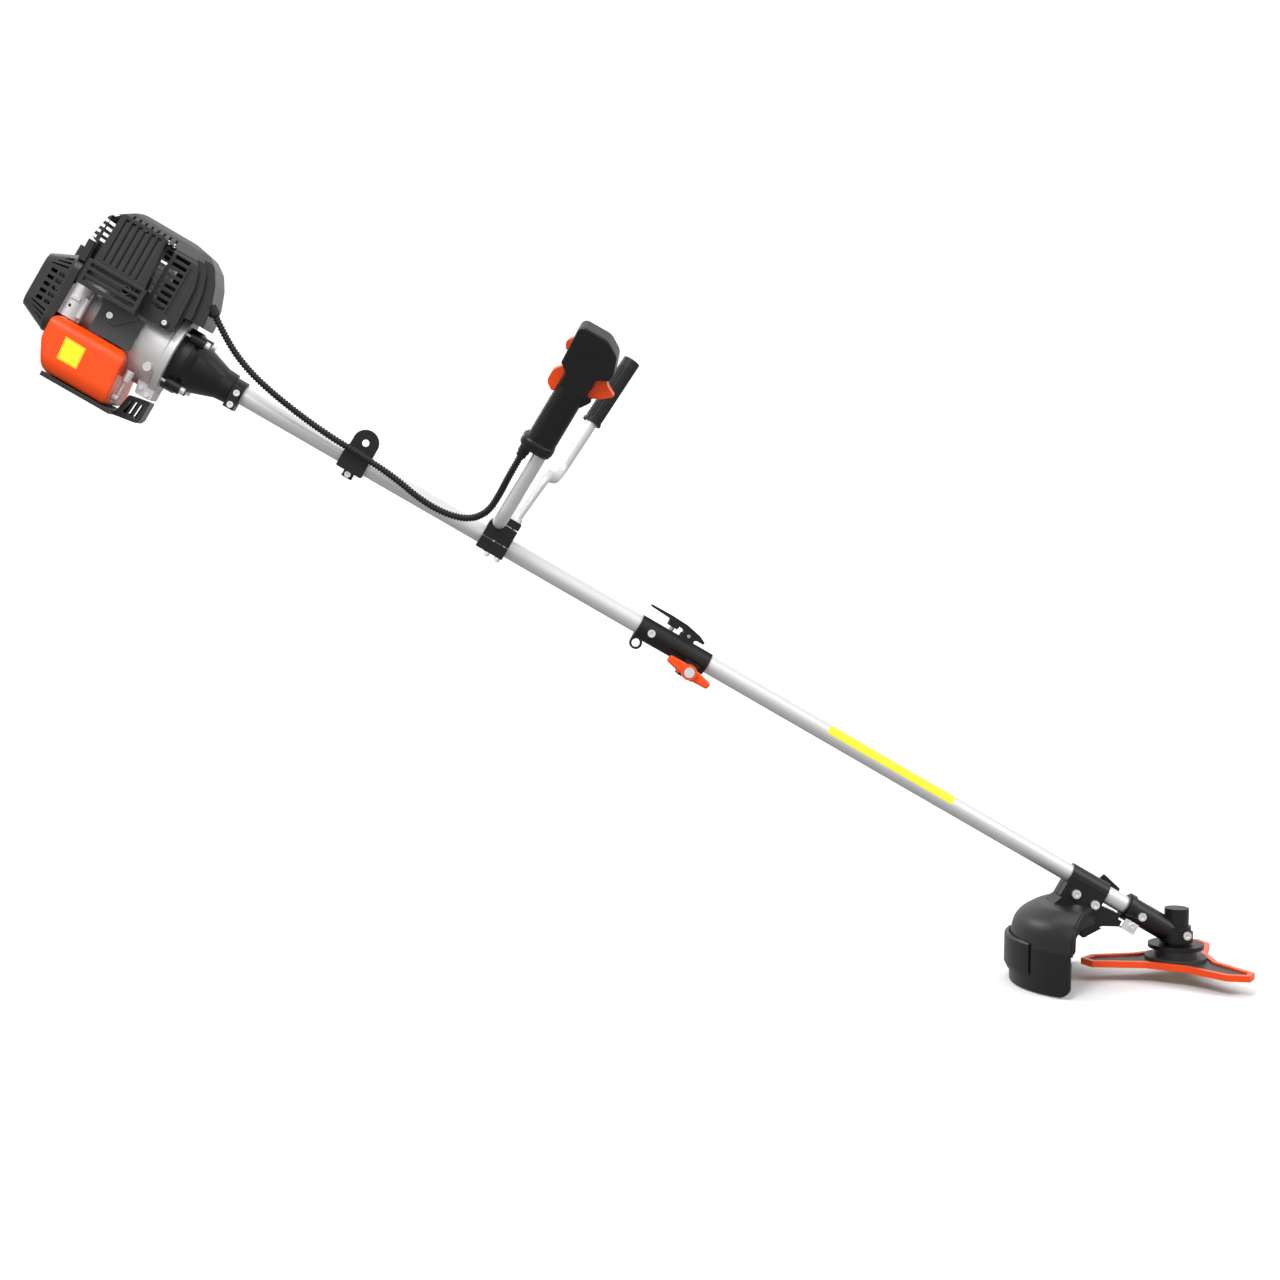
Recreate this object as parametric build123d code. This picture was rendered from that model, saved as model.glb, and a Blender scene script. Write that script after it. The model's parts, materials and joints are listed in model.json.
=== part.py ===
from build123d import *
import math
import os

# Brush cutter: two-stroke engine, split shaft, bullhorn handlebar, geared head with a covered blade.
# Millimetres.  Pieces are drawn in shaft coordinates: s runs along the shaft towards the blade,
# y to the operator's left and n square to both, upward.  PLACE then tips the shaft to its working
# slope and puts the centre of the harness eye at the origin.

# ---- driving dimensions ----------------------------------------------------------------------
SHAFT_SLOPE = 30.0          # shaft below horizontal, so that the blade lies level
TUBE_R = 13.0               # outer tube, 26 mm standard size
TUBE_WALL = 1.5
UPPER_TUBE_START = -662.0
TUBE_SPLIT = 52.0           # where the two halves of the outer tube meet, inside the coupler
LOWER_TUBE_END = 842.0
DRIVE_R = 4.0               # inner drive shaft
RUN_FIT = 0.05              # radial running clearance of shafts, pins and bearings
WALL = 2.5                  # moulded covers
EYE_S, EYE_N = -456.5, 28.0
EYE_R = 5.0
EYE_PLATE = 5.0
HANGER_S0, HANGER_S1 = -477.0, -438.0

CYL_S = -845.0              # cylinder axis
CYL_BORE_R = 20.0
HEAD_TOP = 124.0            # top of the cylinder head
PLUG_N = 110.0
PORT_N = 70.0               # exhaust and inlet ports
FIN_COUNT = 9
FIN_PITCH = 8.0
CRANK_R = 8.0
WEB_R = 32.0
CRANK_THROW = 17.0
CASE_R = 45.0
FLYWHEEL_R = 48.0
HOUSING_R = 59.0            # die-cast fan housing
SHROUD_HALF = 72.0          # half width of the cylinder shroud
DRUM_R = 38.0
DRUM_WALL = 3.0
CONE_FLANGE_R = 46.0
STARTER_S0, STARTER_S1 = -942.0, -903.0
ROPE_DRUM_R = 30.0
TANK_HALF = 78.0
TANK_WALL = 2.5
FOOT_HALF = 22.0            # half width of the ribbed block of the foot

BAR_R = 9.5                 # handlebar tube
BAR_WALL = 1.5
BAR_S, BAR_N = -244.0, 27.0
GRIP_LEAN = 25.0            # throttle grip leans outward
GRIP_TUBE_DEPTH = 80.0
GRIP_HANDLE = 103.0         # handle of the throttle grip, below its head
LEFT_GRIP_R = 13.5
LEFT_GRIP_LENGTH = 110.0
LEFT_GRIP_RIBS = 16

COUPLER_S0, COUPLER_S1 = -2.0, 110.0
COUPLER_R = TUBE_R + 3.2
COUPLER_DROP = -1.2         # the coupler barrel hangs a little below the shaft axis
LATCH_S, LATCH_N = 66.5, 20.5
PIN_S = 41.0
PIN_R = 3.5
KNOB_S, KNOB_N = 89.0, -22.5
KNOB_REACH = 35.0
EAR_N = -24.4               # storage eye under the coupler

HEAD_S = 906.4              # where the output axis crosses the shaft axis
CONE_DISTANCE = 23.0        # bevel gears: apex to large end
PINION_TEETH = 14
CROWN_TEETH = 19
SHEATH_R = 140.0            # tips of the sheath; those of the blade reach 135
BLADE_ARBOR_R = 12.7
BLADE_T = 2.0
BLADE_Z = -36.0             # top of the blade below the gear apex
SHEATH_EDGE = 8.0
BLADE_TURN = 176.0          # bearing of the first tooth
GUARD_X, GUARD_Y = -112.0, -15.0
GUARD_R = 135.0
GUARD_BOTTOM = -35.0
GUARD_ARC0, GUARD_ARC1 = 91.0, 233.0
GUARD_T = 3.0

CONDUIT_R = 5.0
CONDUIT_ROUTE = [(-712, -50, 75), (-680, -47, 52), (-640, -42, 34), (-597, -36, 23.5), (-548, -31, 16),
                 (-500, -29, 11.5), (-448, -29, 10.5), (-398, -28, 7), (-352, -27, -1.5),
                 (-312, -29, -1), (-281, -40, 9), (-265, -58, 30), (-263.5, -74, 58),
                 (-265.7, -95, 88.11), (-265.7, -109.08, 118.31)]

PLACE = Rot(0, SHAFT_SLOPE, 0) * Pos(-EYE_S, 0, -EYE_N)
HEAD = Pos(HEAD_S, 0, 0) * Rot(0, -SHAFT_SLOPE, 0)
GRIP = Pos(-250, -115, 131) * Rot(GRIP_LEAN, 0, 0)
BASE = (Align.CENTER, Align.CENTER, Align.MIN)

made = {}


# ---- drawing helpers -------------------------------------------------------------------------
def rod(radius, start, end):
    """Cylinder between two points."""
    start, end = Vector(*start), Vector(*end)
    return Plane(origin=start, z_dir=end - start) * Cylinder(radius, (end - start).length, align=BASE)


def along(radius, s0, s1, y=0.0, n=0.0):
    return rod(radius, (s0, y, n), (s1, y, n))


def across(radius, y0, y1, s, n):
    return rod(radius, (s, y0, n), (s, y1, n))


def upright(radius, n0, n1, s, y):
    return rod(radius, (s, y, n0), (s, y, n1))


def block(s0, s1, y0, y1, n0, n1):
    return Pos((s0 + s1) / 2, (y0 + y1) / 2, (n0 + n1) / 2) * Box(s1 - s0, y1 - y0, n1 - n0)


def rounded(points, radius):
    """Closed outline through the points, with its corners rounded."""
    face = make_face(Polyline(*points, close=True))
    return fillet(face.vertices(), radius) if radius else face


def moulded(*corners):
    """Closed outline through (x, y, radius) corners, each with its own rounding."""
    face = make_face(Polyline(*[(x, y) for x, y, _ in corners], close=True))
    for x, y, radius in corners:
        corner = min(face.vertices(), key=lambda v: (v.X - x) ** 2 + (v.Y - y) ** 2)
        if radius:
            face = fillet(corner, radius)
    return face


def slab(outline, thickness):
    """Flat outline thickened upward, whichever way round its points run."""
    return extrude(outline, thickness, dir=(0, 0, 1))


def side_plate(outline, y0, y1):
    """Outline in the s-n plane, given thickness across the machine."""
    return Pos(0, y1, 0) * (Plane.XZ * slab(outline, y1 - y0))


def end_plate(outline, s0, s1):
    """Outline in the y-n plane, given thickness along the shaft."""
    return Pos(s0, 0, 0) * (Plane.YZ * slab(outline, s1 - s0))


def turned(profile):
    """Solid of revolution about the shaft axis from (s, radius) points."""
    return revolve(Plane.XZ * make_face(Polyline(*profile, close=True)), Axis.X)


def cap_screw(radius, head, shank, s, n, y, towards=-1):
    """Socket screw across the machine: its head stands out from the face at y."""
    top = y + towards * head
    screw = across(radius, min(y, top), max(y, top), s, n)
    screw += across(radius * 0.55, min(y, y - towards * shank), max(y, y - towards * shank), s, n)
    socket = extrude(RegularPolygon(radius * 0.5, 6), head * 0.6)
    socket = Pos(s, top, n) * (Rot(90 if towards > 0 else -90, 0, 0) * socket)
    return screw - socket


def fit_screw(body, radius, head, shank, s, n, y, towards=-1):
    """Put a screw in a piece, with the hole that it needs."""
    screw = cap_screw(radius, head, shank, s, n, y, towards)
    keep("screws", screw)
    return body - across(radius * 0.55, min(y, y - towards * shank), max(y, y - towards * shank), s,
                         n) - screw


def keep(name, shape):
    """Tip a finished piece into its working place; a node may hold several separate pieces."""
    made.setdefault(name, []).extend((PLACE * shape).solids())


def keep_head(name, shape):
    """The same for a piece drawn level, about the gear apex."""
    keep(name, HEAD * shape)


def keep_grip(name, shape):
    """The same for a piece drawn upright, about the foot of the throttle grip."""
    keep(name, GRIP * shape)


# ---- shaft -----------------------------------------------------------------------------------
def tubes():
    pin_hole = upright(PIN_R + RUN_FIT, 0, TUBE_R + 1, PIN_S, 0)
    for name, s0, s1 in (("upper_tube", UPPER_TUBE_START, TUBE_SPLIT - 0.5),
                         ("lower_tube", TUBE_SPLIT, LOWER_TUBE_END)):
        tube = along(TUBE_R, s0, s1) - along(TUBE_R - TUBE_WALL, s0, s1) - pin_hole
        keep(name, tube)


def drive_shafts():
    keep("drive_shaft", along(DRIVE_R, -706, TUBE_SPLIT) +
         (along(7.5, TUBE_SPLIT - 26, TUBE_SPLIT + 14) - along(DRIVE_R, TUBE_SPLIT, TUBE_SPLIT + 14)))
    keep("drive_shaft", along(DRIVE_R, TUBE_SPLIT, HEAD_S - 26))
    bushes = Compound([along(TUBE_R - TUBE_WALL, s, s + 18) - along(DRIVE_R + RUN_FIT, s, s + 18)
                       for s in (-640, -500, -340, -180, -60, 100, 250, 400, 550, 700, 800)])
    keep("shaft_bushes", bushes)


# ---- engine ----------------------------------------------------------------------------------
def crank_train():
    web_gap = 7.0
    web_t = 13.0
    shaft = along(CRANK_R, -914, CYL_S - web_gap) + along(CRANK_R, CYL_S + web_gap, -722 - 8)
    for side in (-1, 1):
        inner = CYL_S + side * web_gap
        outer = inner + side * web_t
        shaft += along(WEB_R, min(inner, outer), max(inner, outer))
    shaft += along(6, CYL_S - web_gap, CYL_S + web_gap, 0, CRANK_THROW)
    keep("crankshaft", shaft)
    rings = Compound([along(16, s, s + 11) - along(CRANK_R + RUN_FIT, s, s + 11) for s in (-882, -819)])
    keep("bearings", rings)

    hub = along(FLYWHEEL_R, -794, -776) - along(CRANK_R, -794, -764)
    hub += along(18, -776, -764) - along(CRANK_R, -776, -764)
    vane = block(-776, -764, -1.25, 1.25, 20, FLYWHEEL_R - 1)
    for i in range(16):
        hub += Rot(i * 360 / 16, 0, 0) * vane
    keep("flywheel", hub)

    keep("clutch_shoes", along(13, -760, -731) - along(CRANK_R, -760, -731))
    half = turned([(-750, 14), (-750, DRUM_R - DRUM_WALL - 0.6), (-731, DRUM_R - DRUM_WALL - 0.6),
                   (-731, 14)])
    half -= block(-751, -730, -50, 50, -4, 4)
    keep("clutch_shoes", half)
    springs = Compound([across(2.4, 17, 31, -740.5, 0), across(2.4, -31, -17, -740.5, 0)])
    keep("clutch_shoes", springs)


def clutch_drum():
    drum = turned([(-752, DRUM_R), (-752, DRUM_R - DRUM_WALL), (-727, DRUM_R - DRUM_WALL), (-727, 0),
                   (-690, 0), (-690, 7), (-722, 7), (-722, 12), (-724, 12), (-724, DRUM_R)])
    keep("clutch_drum", drum - along(DRIVE_R, -706, -690))
    keep("bearings", Compound([along(15, s, s + 8) - along(7 + RUN_FIT, s, s + 8) for s in (-712, -701)]))


def crankcase():
    case = along(CASE_R, -893, -805) - along(WEB_R + 4, -870, -820)
    case -= along(16, -882, -871) + along(16, -819, -808) + along(12, -894, -804)
    boss = block(-893, -862, -56, -30, -26, 18) + upright(16, -26, 22, -877, -47)
    boss += upright(4, -20, 9, -864, -61) + block(-886, -873, -65, -60, 0, 5)
    case += boss - along(CASE_R, -893, -860)
    case += block(CYL_S - 28, CYL_S + 28, -30, 30, 36, 50) - along(WEB_R + 4, -870, -820)
    case -= upright(CYL_BORE_R + 2, 20, 51, CYL_S, 0)
    case -= across(2.2, -66, -50, -882, -10)
    keep("crankcase", case)


def cylinder():
    """Finned barrel and head with its bore, ports and plug hole."""
    bore_top = HEAD_TOP - 8
    bore = upright(CYL_BORE_R, 49, bore_top, CYL_S, 0)
    barrel = upright(27, 50, HEAD_TOP, CYL_S, 0)
    for i in range(FIN_COUNT):
        n = 58 + i * FIN_PITCH
        barrel += Pos(0, 0, n) * slab(Pos(CYL_S, 0) * RectangleRounded(62, 92, 12), 2.5)
    for y0, y1 in ((-54, -26), (26, 52)):
        barrel += block(CYL_S - 16, CYL_S + 16, y0, y1, PORT_N - 14, PORT_N + 14)
    barrel -= bore
    for y0, y1 in ((-55, -10), (10, 53)):
        barrel -= across(8, y0, y1, CYL_S, PORT_N)
    barrel -= along(5, -880, CYL_S - 10, 0, PLUG_N)
    keep("cylinder", barrel)
    crown, skirt = bore_top - 10, bore_top - 44
    piston = upright(CYL_BORE_R - RUN_FIT, skirt, crown, CYL_S, 0) - upright(16, skirt - 1, crown - 6,
                                                                             CYL_S, 0)
    for n in (crown - 10, crown - 5):
        piston -= upright(CYL_BORE_R, n, n + 1.5, CYL_S, 0) - upright(CYL_BORE_R - 1.5, n, n + 1.5, CYL_S,
                                                                      0)
    keep("piston", piston)
    plug = along(5, -878, -866, 0, PLUG_N) + along(3.4, -887.5, -878, 0, PLUG_N)
    plug += end_plate(Pos(0, PLUG_N) * RegularPolygon(8, 6), -882, -878)
    keep("spark_plug", plug)
    keep("spark_plug", along(6, -889.5, -882.5, 0, PLUG_N) - along(3.4, -887.5, -882.5, 0, PLUG_N))


def fan_housing():
    shell = turned([(-803, 20), (-803, 50), (-795, HOUSING_R), (-747, HOUSING_R), (-745, 62), (-735, 62),
                    (-735, CONE_FLANGE_R - 4), (-740, CONE_FLANGE_R - 4), (-740, 50), (-752, HOUSING_R - 4),
                    (-793, HOUSING_R - 4), (-798, 48), (-798, 20)])
    shell -= block(-797, -771, -23, 23, 30, 64)
    boss = side_plate(rounded([(-764, -40), (-735, -40), (-734, -69), (-757, -69)], 3), -30, 30)
    for n in (-14, 3):
        boss += block(-800, -786, -62, -40, n, n + 9)
    for y in (-57, 46):
        boss += across(6, y, y + 11, -756, -30)
    shell += boss - along(HOUSING_R - 3, -803, -700)
    for s, n in ((-753, -59), (-742, -64)):
        shell = fit_screw(shell, 3.2, 2.5, 8, s, n, -30)
    keep("fan_housing", shell)
    coil = block(-795, -777, -20, 20, 56, 80)
    coil += block(-793, -779, -18, -9, 48.8, 56) + block(-793, -779, 9, 18, 48.8, 56)
    keep("ignition_coil", coil)


def shroud_solid(inset):
    """Outer form of the cylinder shroud in three stepped layers, shrunk by a wall for its hollow."""
    rear = [(-890, 26, 3), (-890, 80, 2), (-900, 85, 2), (-893, 119, 8), (-863, 146, 16)]
    layers = [(58, [(-783, 146, 30), (-757, 141, 16), (-742, 129, 16), (-731, 111, 16), (-722, 86, 16),
                    (-717, 60, 6),
                    (-717, 52, 2), (-745, 52, 0), (-747, 26, 3)]),
              (65, [(-790, 143, 30), (-762, 136, 16), (-747, 117, 16), (-739, 92, 20), (-735, 60, 3),
                    (-735, 52, 2), (-745, 52, 0), (-747, 26, 3)]),
              (SHROUD_HALF, [(-796, 140, 30), (-771, 134, 16), (-757, 116, 16), (-750, 92, 20),
                             (-747, 26, 3)])]
    solid = None
    for half, front in layers:
        side = offset(moulded(*rear, *front), -inset) if inset else moulded(*rear, *front)
        layer = side_plate(side, -half + inset, half - inset)
        solid = layer if solid is None else solid + layer
    half = SHROUD_HALF
    crown = 146.4
    end = moulded((-half, -10, 0), (-half, 124, 8), (-46, 140, 14), (-20, crown, 20), (20, crown, 20),
                  (46, 140, 14),
                  (half, 124, 8), (half, -10, 0))
    if inset:
        end = offset(end, -inset)
    return solid & end_plate(end, -910, -700)


def top_shroud():
    shell = shroud_solid(0) - shroud_solid(WALL)
    shell -= block(-895, -744, -69.5, 69.5, 20, 29)
    shell -= along(HOUSING_R + 4, -806, -734) + along(CASE_R + 1, -895, -880)
    shell -= block(-889, -797, -90, -54, 20, 127)
    shell -= block(-892, -802, 60, 90, 20, 106)
    groove = block(-767.5, -764, -74, -SHROUD_HALF + 1.2, 42, 112)
    shell -= groove + Pos(0, 146 - 2.4, 0) * groove
    vent = 2.5
    for i in range(8):
        n = 47 + i * 10
        for y0 in (-80, 60):
            shell -= block(-792, -771, y0, y0 + 20, n - vent, n + vent)
    for i in range(4):
        n = 87 + i * 8.6
        shell -= block(-905, -882, -58, 58, n - 2.1, n + 2.1)
        shell -= block(-905, -889.5 - 1.6 * (3 - i), -80, 80, n - 2.1, n + 2.1)
    for i in range(8):
        s = -866 + i * 9
        for y0 in (-67, 51):
            shell -= block(s - 1.6, s + 1.6, y0, y0 + 16, 129, 141)
    shell += across(6, -74.5, -70, -762, 33)
    shell = fit_screw(shell, 3.5, 3, 5, -762, 33, -74.5)
    start, following = Vector(*CONDUIT_ROUTE[0]), Vector(*CONDUIT_ROUTE[1])
    back = (start - following).normalized()
    gland = rod(7.5, start + back * 14, start)
    shell -= gland
    keep("top_shroud", shell)
    keep("cable_boots", gland)


def muffler():
    cover = block(-882, -797, -105, -74, 22, 58)
    cover += side_plate(rounded([(-878, 50), (-874, 131), (-809, 131), (-801, 50)], 4), -98, -74)
    cover -= block(-882 + WALL, -797 - WALL, -105 + WALL, -70, 22 + WALL, 58 - WALL)
    cover -= side_plate(rounded([(-875, 30), (-871.5, 128.5), (-811.5, 128.5), (-804, 30)], 3),
                        -98 + WALL, -70)
    vent = 2.7
    for i in range(6):
        s = -864 + i * 9.5
        cover -= block(s - vent, s + vent, -110, -90, 63, 126)
    for i in range(3):
        n = 31 + i * 10
        cover -= block(-876, -803, -110, -98, n - vent, n + vent)
    keep("muffler_cover", cover)
    can = block(-870, -812, -94, -56, 32, 124) - block(-868, -814, -92, -58, 34, 122)
    can -= across(8, -60, -54, CYL_S, 70)
    can += (across(7, -101, -92, -822, 45) - across(5, -101, -90, -822, 45))
    can -= across(5, -95, -90, -822, 45)
    keep("muffler", can)


def side_bracket():
    plate = side_plate(rounded([(-845, 20), (-785, 20), (-785, -25), (-845, -25)], 2), -66, -63)
    keep("muffler_bracket", plate)
    point = side_plate(rounded([(-852, 21), (-790, 21), (-818, -4), (-828, -4)], 3), -69.2, -66)
    keep("muffler_bracket", fit_screw(point, 4.4, 3, 3, -829, 5, -69.2))


def carburettor():
    body = block(-866, -828, 52, 84, 52, 88)
    body -= across(8, 50, 86, CYL_S, 70)
    body -= upright(8.6, 50, 58, -838, 62)
    body += across(12, 84, 86, CYL_S, 70) - across(8, 84, 86, CYL_S, 70)
    keep("carburettor", body)
    lever = upright(7, 88.4, 91.5, -847, 68)
    lever += block(-847, -824, 65, 71, 88.4, 91.5)
    keep("throttle_lever", lever)
    bulb = upright(8, 46, 52, -838, 62) + Pos(-838, 62, 46) * Sphere(8)
    bulb -= block(-850, -820, 50, 75, 52, 60)
    bulb -= upright(6.5, 46, 53, -838, 62)
    keep("primer_bulb", bulb)
    base = side_plate(rounded([(-888, 30), (-888, 103), (-806, 103), (-806, 30)], 8), 86, 88.5)
    keep("carburettor", base - across(8, 85, 90, CYL_S, 70))
    lever = side_plate(rounded([(-856, 48), (-844, 48), (-846, 12), (-854, 12)], 3), 81, 83.4)
    lever += across(5, 76, 83.4, -850, 15)
    keep("choke_lever", lever - across(2.5 + RUN_FIT, 80, 86, -850, 42))
    keep("pivot_pins", across(2.5, 80, 86, -850, 42))


def air_filter():
    outer = side_plate(rounded([(-888, 30), (-888, 103), (-806, 103), (-806, 30)], 8), 88.5, 116)
    inner = side_plate(rounded([(-885.5, 32.5), (-885.5, 100.5), (-808.5, 100.5), (-808.5, 32.5)], 6),
                       88.5, 113.5)
    cover = outer - inner
    for i in range(5):
        n = 48 + i * 9
        cover -= block(-878, -830, 110, 120, n - 2, n + 2)
    keep("air_filter_cover", cover)
    keep("air_filter", block(-880, -815, 89, 108, 38, 95))


def recoil_starter():
    def form(inset):
        front = RectangleRounded(2 * (62 - inset), 2 * (57 - inset), 26)
        back = RectangleRounded(2 * (44 - inset), 2 * (39 - inset), 16)
        sections = [Plane(origin=(STARTER_S1, 0, -1), x_dir=(0, 1, 0), z_dir=(1, 0, 0)) * front,
                    Plane(origin=(STARTER_S0 + inset, 0, -1), x_dir=(0, 1, 0), z_dir=(1, 0, 0)) * back]
        return loft(sections)
    shell = form(0) - form(WALL)
    for i in range(5):
        n = -21 + i * 10.2
        for s0 in (-928, -915):
            for y0 in (-70, 30):
                shell -= block(s0, s0 + 9.5, y0, y0 + 40, n - 2.4, n + 2.4)
    for rise in (0, 6.5, 13):
        for up in (1, -1):
            rib = [(-932 + rise, up * (27 + rise)), (-907, up * (31 + rise)), (-907, up * (33.5 + rise)),
                   (-932 + rise, up * (28.5 + rise))]
            shell -= side_plate(rounded(rib, 0), -70, -30)
    for i in range(10):
        shell -= Rot(i * 36, 0, 0) * block(-955, -938, -2.2, 2.2, 20, 33)
    shell -= across(3.2, 40, 70, -928, 30)
    keep("starter_cover", shell)
    plate = end_plate(rounded([(-62, -58), (-62, 56), (62, 56), (62, -58)], 22), STARTER_S1, -893)
    plate += block(STARTER_S1, -893, -62, 30, 50, 80)
    keep("starter_cover", plate - along(CRANK_R + 2, STARTER_S1 - 1, -890))
    reel = along(ROPE_DRUM_R + 4, -935, -931) + along(ROPE_DRUM_R, -931, -925) + along(ROPE_DRUM_R + 4,
                                                                                       -925, -921)
    reel -= along(6 + RUN_FIT, -940, -920)
    keep("starter_reel", reel)
    keep("pivot_pins", along(6, STARTER_S0 + 2.6, -920))
    grip = block(-935, -921, 66, 80, -8, 68) - across(2.5, 60, 72, -928, 30)
    grip = fillet(grip.edges().filter_by(Axis.Z), 5)
    keep("starter_grip", grip)
    keep("starter_grip", across(1.8, 58, 72, -928, 30))


def fuel_tank():
    def form(inset):
        side = moulded((-892, -27, 12), (-891, -64, 24), (-872, -102.5, 16), (-776.5, -102.5, 8),
                       (-784, -27, 12))
        end = moulded((-TANK_HALF, -26.5, 18), (-TANK_HALF, -103.5, 22), (TANK_HALF, -103.5, 22),
                      (TANK_HALF, -26.5, 18))
        if inset:
            side, end = offset(side, -inset), offset(end, -inset)
        solid = side_plate(side, -TANK_HALF - 5, TANK_HALF + 5) & end_plate(end, -900, -770)
        solid -= along(CASE_R + 1 + inset, -900, -770)
        return solid - along(HOUSING_R + 2 + inset, -806 - inset, -770)

    tank = form(0) - form(TANK_WALL)
    tank += across(14, TANK_HALF - 1, TANK_HALF + 6, -848, -60)
    tank -= across(11, TANK_HALF - 4, TANK_HALF + 7, -848, -60)
    keep("fuel_tank", tank)
    cap = across(19, TANK_HALF + 1, TANK_HALF + 18, -848, -60)
    cap -= across(14 + RUN_FIT, TANK_HALF, TANK_HALF + 7, -848, -60)
    for i in range(12):
        angle = math.radians(i * 30)
        cap -= across(2, TANK_HALF, TANK_HALF + 19, -848 + 19.6 * math.cos(angle),
                      -60 + 19.6 * math.sin(angle))
    keep("fuel_cap", cap)


def engine_foot():
    plate = block(-871, -768, -66, 66, -110, -104)
    outline = moulded((-800, -104, 0), (-800, -110, 0), (-768, -110, 4), (-736, -105, 6), (-733, -98, 4),
                      (-733, -71, 2), (-763, -76, 2), (-768, -104, 0))
    foot = side_plate(outline, -FOOT_HALF, FOOT_HALF)
    foot -= side_plate(moulded((-760, -82, 0), (-764, -103, 0), (-738, -100, 0), (-737, -78, 0)),
                       -FOOT_HALF + 3, FOOT_HALF - 3)
    for i in range(3):
        s = -758 + i * 7.6
        slot = side_plate(moulded((s - 1.5, -101, 1), (s + 2.6, -100, 1), (s + 4, -80, 1), (s, -80, 1)),
                          -5, 0)
        foot -= Pos(0, 5 - FOOT_HALF - 2, 0) * slot + Pos(0, FOOT_HALF + 1, 0) * slot
    keep("engine_foot", plate + foot)
    fitting = upright(6, -62, -46, -771, -57) - along(HOUSING_R, -803, -740)
    keep("fuel_fittings", fitting)
    keep("fuel_fittings", upright(2.5, -82, -62, -771, -57))
    keep("fuel_fittings", along(5, -776.6, -768.5, -57, -87))


def clutch_case():
    cone = turned([(-735, 42), (-735, CONE_FLANGE_R), (-718, CONE_FLANGE_R), (-712, 42), (-706, 36.5),
                   (-666, 22.5), (-650, 21.5), (-650, 18), (-633, 18), (-633, TUBE_R), (UPPER_TUBE_START,
                                                                                        TUBE_R),
                   (UPPER_TUBE_START, 10), (-690, 10), (-690, 15), (-714, 15), (-720, 41)])
    for angle in (45, 135, 225, 315):
        cone += Rot(angle, 0, 0) * along(8, -728, -706, 0, 49) - along(41.5, -740, -700)
    cone += block(-649, -634, -21, 21, -25, 6) - along(TUBE_R, -700, -600)
    for n in (-1, -19):
        cone = fit_screw(cone, 4.5, 3.5, 5, -640, n, -21)
    for angle in (45, 135, 225, 315):
        bolt = Rot(angle, 0, 0) * (along(4.8, -706, -700, 0, 49) + along(2.5, -735, -706, 0, 49))
        keep("screws", bolt)
        cone -= bolt
    keep("clutch_case", cone)


# ---- harness hanger and handlebar ---------------------------------------------------------------
def hanger():
    body = side_plate(rounded([(HANGER_S0, -18), (HANGER_S0, 16), (HANGER_S1, 16), (HANGER_S1, -18)], 2),
                      -17, 17)
    body -= block(HANGER_S0 - 1, HANGER_S1 + 1, -1, 1, -19, 0)
    eye = side_plate(rounded([(HANGER_S0 + 2, 10), (HANGER_S0 + 2, EYE_N), (HANGER_S1, EYE_N),
                              (HANGER_S1, 10)], 0),
                     -EYE_PLATE / 2, EYE_PLATE / 2)
    eye += across(18.5, -EYE_PLATE / 2, EYE_PLATE / 2, EYE_S, EYE_N)
    body += eye
    body += upright(8, -27, -17, EYE_S, 0) - block(-500, -400, -1, 1, -30, 0)
    body -= across(EYE_R, -10, 10, EYE_S, EYE_N)
    body = fit_screw(body - along(TUBE_R, -500, -400), 4.5, 4, 14, EYE_S, -21.5, -7.5)
    keep("harness_hanger", body)


def handlebar_route():
    lean = math.radians(GRIP_LEAN)
    foot = Vector(BAR_S, -115, 131)
    top = foot + Vector(0, -math.sin(lean), math.cos(lean)) * GRIP_TUBE_DEPTH
    fall = (top.Z - BAR_N) / math.cos(lean)
    near_bend = (BAR_S, top.Y + fall * math.sin(lean), BAR_N)
    points = [tuple(top), near_bend, (BAR_S, 38, BAR_N), (-226, 72, BAR_N + 2), (-216, 105, 117),
              (-196, 245, 124), (-183, 275, 332)]
    return FilletPolyline(*points, radius=[40, 50, 30, 28, 32])


def handlebar():
    route = handlebar_route()
    start = Plane(origin=route @ 0, z_dir=route % 0)
    ring = start * (Circle(BAR_R) - Circle(BAR_R - BAR_WALL))
    keep("handlebar", sweep(ring, route))
    end, direction = route @ 1, (route % 1).normalized()
    inner_end = end - direction * LEFT_GRIP_LENGTH
    rubber = rod(LEFT_GRIP_R, inner_end, end + direction * 4) - rod(BAR_R, inner_end, end)
    rubber += rod(LEFT_GRIP_R + 1.5, inner_end, inner_end + direction * 4) - rod(BAR_R, inner_end, end)
    for i in range(LEFT_GRIP_RIBS):
        around = Plane(origin=inner_end, z_dir=direction) * Rot(0, 0, i * 360 / LEFT_GRIP_RIBS)
        rubber -= around * (Pos(LEFT_GRIP_R, 0, 8) * Cylinder(1.1, LEFT_GRIP_LENGTH - 20, align=BASE))
    keep("left_grip", rubber)


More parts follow.
